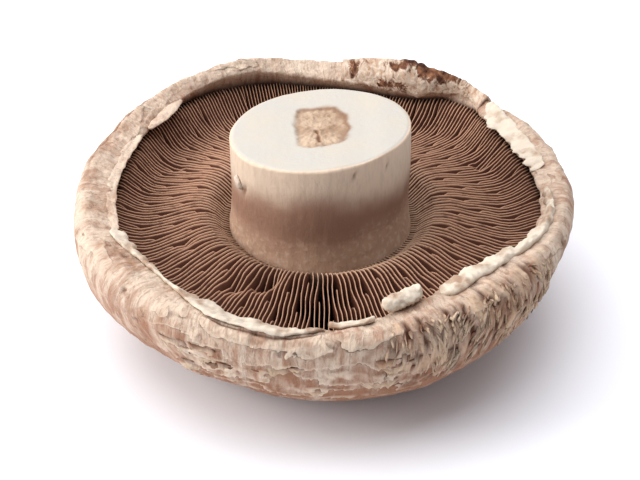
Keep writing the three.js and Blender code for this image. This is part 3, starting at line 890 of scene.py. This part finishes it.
# ---- Torn veil along the margin ----
# The veil was a sheet of soft white felt from the margin to the stem. It tore as the cap opened and
# dried into ragged strips that lie on the margin. Each outline goes along the strip, as
# (angle in degrees, inner radius, outer radius) in millimetres. The two on the margin at the left are
# low folds of the cap's own skin, made the same way.
VEIL_STRIPS = {
    "veil_strip_left": [
        (199, 41.2, 44.4), (206, 40.8, 43.8), (214, 40.8, 42.6), (224, 41.6, 42.6), (232, 42.4, 43.8),
        (240, 41.8, 46.4), (246, 43.2, 47.8), (253, 43.4, 48.3), (260, 44.6, 48.8), (265, 44.6, 48.0),
        (271, 44.4, 45.8),
    ],
    "veil_scrap_front": [(271.4, 43.2, 45.0), (277, 43.2, 45.4), (283, 43.0, 44.2)],
    "veil_strip_right": [
        (302, 39.2, 43.8), (307, 38.5, 43.6), (314, 38.2, 42.8), (320, 39.2, 43.2), (326, 40.4, 43.6),
        (333, 42.4, 45.4), (341, 44.0, 46.6), (350, 44.8, 46.6), (359, 43.8, 45.6),
    ],
    "veil_frill_back": [
        (8, 43.4, 46.0), (15, 42.4, 46.2), (24, 42.4, 46.2), (33, 43.0, 47.0), (41, 45.2, 48.2),
    ],
    "margin_crust_left": [
        (152, 42.0, 43.2), (160, 41.3, 43.6), (168, 41.2, 43.0), (176, 41.0, 43.4), (186, 41.1, 43.0),
        (200, 41.5, 43.4),
    ],
    "margin_fold_left": [(133, 43.4, 44.4), (138, 41.8, 44.8), (142, 41.2, 44.2), (149, 41.8, 43.2)],
}
# Half height, lift off the margin, tilt that raises the outer edge, how lumpy and how ragged.
VEIL_SHAPES = {
    "veil_strip_left": (0.70, 0.20, 0.40, 0.9, 0.9),
    "veil_scrap_front": (0.60, 0.55, 0.10, 0.7, 0.6),
    "veil_strip_right": (1.15, 0.30, 0.05, 1.4, 1.2),
    "veil_frill_back": (0.35, 0.15, 0.25, 0.8, 2.2),
    "margin_crust_left": (0.35, 0.0, -0.05, 0.5, 0.5),
    "margin_fold_left": (0.40, 0.05, 0.0, 0.3, 0.3),
}
STRIP_AROUND = 24
RINGS_PER_DEGREE = 2.6


def along_strip(outline, degrees):
    """Inner and outer radius of a strip at an angle, on a smooth curve."""
    for i, (here, there) in enumerate(zip(outline, outline[1:])):
        if degrees <= there[0] or i == len(outline) - 2:
            t = min(1.0, max(0.0, (degrees - here[0]) / (there[0] - here[0])))
            four = [outline[min(max(i + k, 0), len(outline) - 1)] for k in (-1, 0, 1, 2)]
            return [curve_through(*(p[k] for p in four), t) for k in (1, 2)]


def margin_height(angle, radius):
    """Height of the rolled margin at a radius."""
    widest, lip = round_cap(WIDEST_RADIUS, angle), lip_radius(angle)
    share = (widest - radius) / (widest - lip)
    line = [(0.0, 25.0)] + MARGIN_ROLL
    return height_on(line, min(1.0, max(0.0, share))) * round_cap(CREST_HEIGHTS, angle) / CAP_HEIGHT


# Dried veil felt: matte off-white with a faint tan stain and tiny pits.
VEIL_STAIN_SIZE, FELT_SIZE = 3.846, 1.111  # millimetres; the felt is drawn coarse enough to show
veil_finish, tree, output = new_finish("dried_veil_felt")
place_on = add_node(tree, "TexCoord")
stain = add_node(tree, "TexNoise", {"Vector": place_on.outputs["Object"],
                                    "Scale": 1 / (VEIL_STAIN_SIZE * MM), "Detail": 5.0})
stained = add_node(tree, "MapRange", {"Value": stain.outputs["Fac"], "From Min": 0.47, "From Max": 0.66,
                                      "To Max": 0.8})
veil_colour = add_node(tree, "MixRGB", {"Fac": stained.outputs["Result"], "Color1": linear("#cfc2b1"),
                                        "Color2": linear("#94725a")})
felt = add_node(tree, "TexNoise", {"Vector": place_on.outputs["Object"], "Scale": 1 / (FELT_SIZE * MM),
                                   "Detail": 4.0})
relief_node = add_node(tree, "Bump", {"Height": felt.outputs["Fac"], "Strength": 0.5,
                                      "Distance": 0.25 * MM})
shader = add_node(tree, "BsdfPrincipled", {
    "Base Color": veil_colour.outputs["Color"], "Roughness": 0.85, "Specular IOR Level": 0.25,
    "Subsurface Weight": 0.2, "Subsurface Radius": (1.0, 0.8, 0.6), "Subsurface Scale": 1 * MM,
    "Normal": relief_node.outputs["Normal"],
})
tree.links.new(shader.outputs["BSDF"], output.inputs["Surface"])

for number, (name, outline) in enumerate(VEIL_STRIPS.items()):
    half_high, lift, tilt, lumpy, ragged = VEIL_SHAPES[name]
    first, last = outline[0][0], outline[-1][0]
    steps = round((last - first) * RINGS_PER_DEGREE)
    shape, row_layer = spun_blank(steps + 1, STRIP_AROUND)
    for vert in shape.verts:
        share = vert[row_layer] / steps
        degrees = mix(first, last, share)
        angle = math.radians(degrees)
        inner, outer = along_strip(outline, degrees)
        inner += 0.6 * ragged * wander(degrees * 0.75, number * 7, 0, 2.1, 41)
        inner += 0.35 * ragged * wander(degrees * 0.75, number * 7, 3, 0.85, 42)
        outer += 0.3 * wander(degrees * 0.75, number * 7, 9, 1.8, 43)
        ends = (rise(0, 0.04, share) * rise(0, 0.04, 1 - share)) ** 0.5
        aside, up = vert.co.x * ends, vert.co.y * ends
        bulk = 1 + 0.5 * wander(degrees * 0.75, aside * 2, up * 2 + number * 5, 1.4, 44)
        radius = (inner + outer) / 2 + (outer - inner) / 2 * aside
        x, y = radius * math.cos(angle), radius * math.sin(angle)
        base = margin_height(angle, max(radius, lip_radius(angle) + 0.5))
        height = base + lift + tilt * aside + half_high * up * (bulk if up > 0 else 0.8)
        height += lumpy * (0.30 * wander(x, y, 0, 2.3, 45) + 0.28 * wander(x, y, 0, 0.9, 46))
        vert.co = Vector((x, y, height)) * MM
    if name.startswith("veil"):
        finish_piece(shape, name, veil_finish, "veil", name)
    else:
        finish_piece(shape, name, skin_finish, "cap_skin")


# ---- Curled chip of veil at the front ----
# A thicker bit of veil that has rolled up on itself and lies on the margin like a grain of rice.
CURL_FROM, CURL_TO, CURL_RADIUS = 285, 297.5, 41.0
CURL_HEIGHT = 29.4
CURL_GIRTH = 1.8
shape = bmesh.new()
bmesh.ops.create_uvsphere(shape, u_segments=44, v_segments=40, radius=1)
for vert in shape.verts:
    along = vert.co.z
    fuller = 1 + 0.5 * along**2 * (1 - along**8)
    lump = 1 + 0.26 * wander(vert.co.x, vert.co.y, along * 2.0, 0.6, 51)
    lump += 0.16 * wander(vert.co.x, vert.co.y, along * 4, 0.3, 52)
    degrees = mix(CURL_FROM, CURL_TO, (along + 1) / 2)
    radius = CURL_RADIUS + vert.co.x * CURL_GIRTH * fuller * lump - 1.0 * along
    spur = max(0, vert.co.y) * math.exp(-(((along - 0.86) / 0.10) ** 2))
    height = CURL_HEIGHT + vert.co.y * CURL_GIRTH * 0.75 * fuller * lump - 0.2 * along + 1.6 * spur
    angle = math.radians(degrees)
    vert.co = Vector((radius * math.cos(angle), radius * math.sin(angle), height)) * MM
finish_piece(shape, "veil_curl_front", veil_finish, "veil", "veil_curl_front")


# ---- Torn flap of skin at the back ----
# The outer skin has split here, curled up over the margin and dried brown, with paler ribs where it
# is folded over the lip.
FLAP_FROM, FLAP_TO = 42, 84
FLAP_OUTER = 49.8
FLAP_STEPS = (150, 50)
FLAP_THICK = 0.6
# Where the flesh shows brown: share of the way along and across, the same for its size, and how much.
TORN_PATCHES = [
    (0.36, 0.50, 0.14, 0.32, 1.4), (0.61, 0.36, 0.06, 0.15, 1.0), (0.53, 0.66, 0.12, 0.16, 1.1),
    (0.76, 0.72, 0.13, 0.07, 0.9), (0.62, 0.04, 0.15, 0.06, 0.6), (0.92, 0.30, 0.04, 0.30, 0.6),
]
shape = bmesh.new()
bmesh.ops.create_grid(shape, x_segments=FLAP_STEPS[0], y_segments=FLAP_STEPS[1], size=1)
torn_tint = shape.verts.layers.float.new("torn_tint")
torn_grain = shape.verts.layers.float_vector.new("torn_grain")
for vert in shape.verts:
    share, across = (vert.co.x + 1) / 2, (vert.co.y + 1) / 2
    degrees = mix(FLAP_FROM, FLAP_TO, share)
    angle = math.radians(degrees)
    body = rise(0.12, 0.42, share) * rise(0, 0.2, 1 - share) * mix(1, 0.4, rise(0.5, 0.85, share))
    inner = lip_radius(angle) + 0.3 + 0.3 * wander(degrees * 0.8, 0, 0, 2.0, 63)
    outer = FLAP_OUTER + 0.6 * wander(degrees * 0.8, 5, 0, 2.4, 64)
    reach = mix(inner, outer, across)
    x, y = reach * math.cos(angle), reach * math.sin(angle)
    ribs = wander(x * 1.0 + 3, y * 0.35, 0, 1.3, 61)
    folds = wander(x, y, 0, 3.0, 62) + 0.6 * wander(x, y, 0, 1.3, 65)
    bulge = math.sin(math.pi * min(1, across * 1.08)) ** 0.6 if across < 0.92 else 0.25
    torn_here = max(
        much * math.exp(-(((share - at_share) / wide) ** 2) - ((across - at_across) / long) ** 2)
        for at_share, at_across, wide, long, much in TORN_PATCHES
    )
    height = margin_height(angle, reach) + 0.3 + body * (2.2 * bulge + 0.6 * folds + 0.4 * ribs)
    height -= 0.9 * rise(0.14, 0.0, across) + 0.5 * body * torn_here
    vert.co = Vector((x, y, height)) * MM
    vert[torn_tint] = torn_here + 0.25 * folds + 0.35 * ribs
    vert[torn_grain] = Vector((x, y * 0.4, height))
bmesh.ops.recalc_face_normals(shape, faces=shape.faces)
bmesh.ops.solidify(shape, geom=shape.faces, thickness=FLAP_THICK * MM)

# Torn, dried skin: rough, chestnut where the flesh shows and cream where the skin is whole.
RAG_SIZE = 1.111  # millimetres between the rags of torn skin
flap_finish, tree, output = new_finish("torn_dried_skin")
ribbed = add_node(tree, "Attribute", attribute_name="torn_grain")
tint = add_node(tree, "Attribute", attribute_name="torn_tint")
rag = add_node(tree, "TexNoise", {"Vector": ribbed.outputs["Vector"], "Scale": 1 / RAG_SIZE, "Detail": 5.0,
                                  "Roughness": 0.68, "Distortion": 0.6})
rags = add_node(tree, "MapRange", {"Value": rag.outputs["Fac"], "From Min": 0.36, "From Max": 0.64})
raw = add_node(tree, "MixRGB", {"Fac": rags.outputs["Result"], "Color1": linear("#3a1f15"),
                                "Color2": linear("#8f6146")})
whole = add_node(tree, "MixRGB", {"Fac": rags.outputs["Result"], "Color1": linear("#a8846a"),
                                  "Color2": linear("#d9c9b7")})
ragged = add_node(tree, "MapRange", {"Value": rag.outputs["Fac"], "From Min": 0.3, "From Max": 0.7,
                                     "To Min": 0.3, "To Max": -0.3})
tinted = add_node(tree, "Math", {0: tint.outputs["Fac"], 1: ragged.outputs["Result"]}, operation="ADD")
torn = add_node(tree, "MapRange", {"Value": tinted.outputs["Value"],
                                   "From Min": 0.26, "From Max": 0.50})
flap_colour = add_node(tree, "MixRGB", {"Fac": torn.outputs["Result"], "Color1": whole.outputs["Color"],
                                        "Color2": raw.outputs["Color"]})
relief_node = add_node(tree, "Bump", {"Height": rag.outputs["Fac"], "Strength": 0.9,
                                      "Distance": 0.6 * MM})
shader = add_node(tree, "BsdfPrincipled", {
    "Base Color": flap_colour.outputs["Color"], "Roughness": 0.85, "Specular IOR Level": 0.2,
    "Normal": relief_node.outputs["Normal"],
})
tree.links.new(shader.outputs["BSDF"], output.inputs["Surface"])
finish_piece(shape, "torn_skin_flap", flap_finish, "torn_skin", "torn_skin_flap")
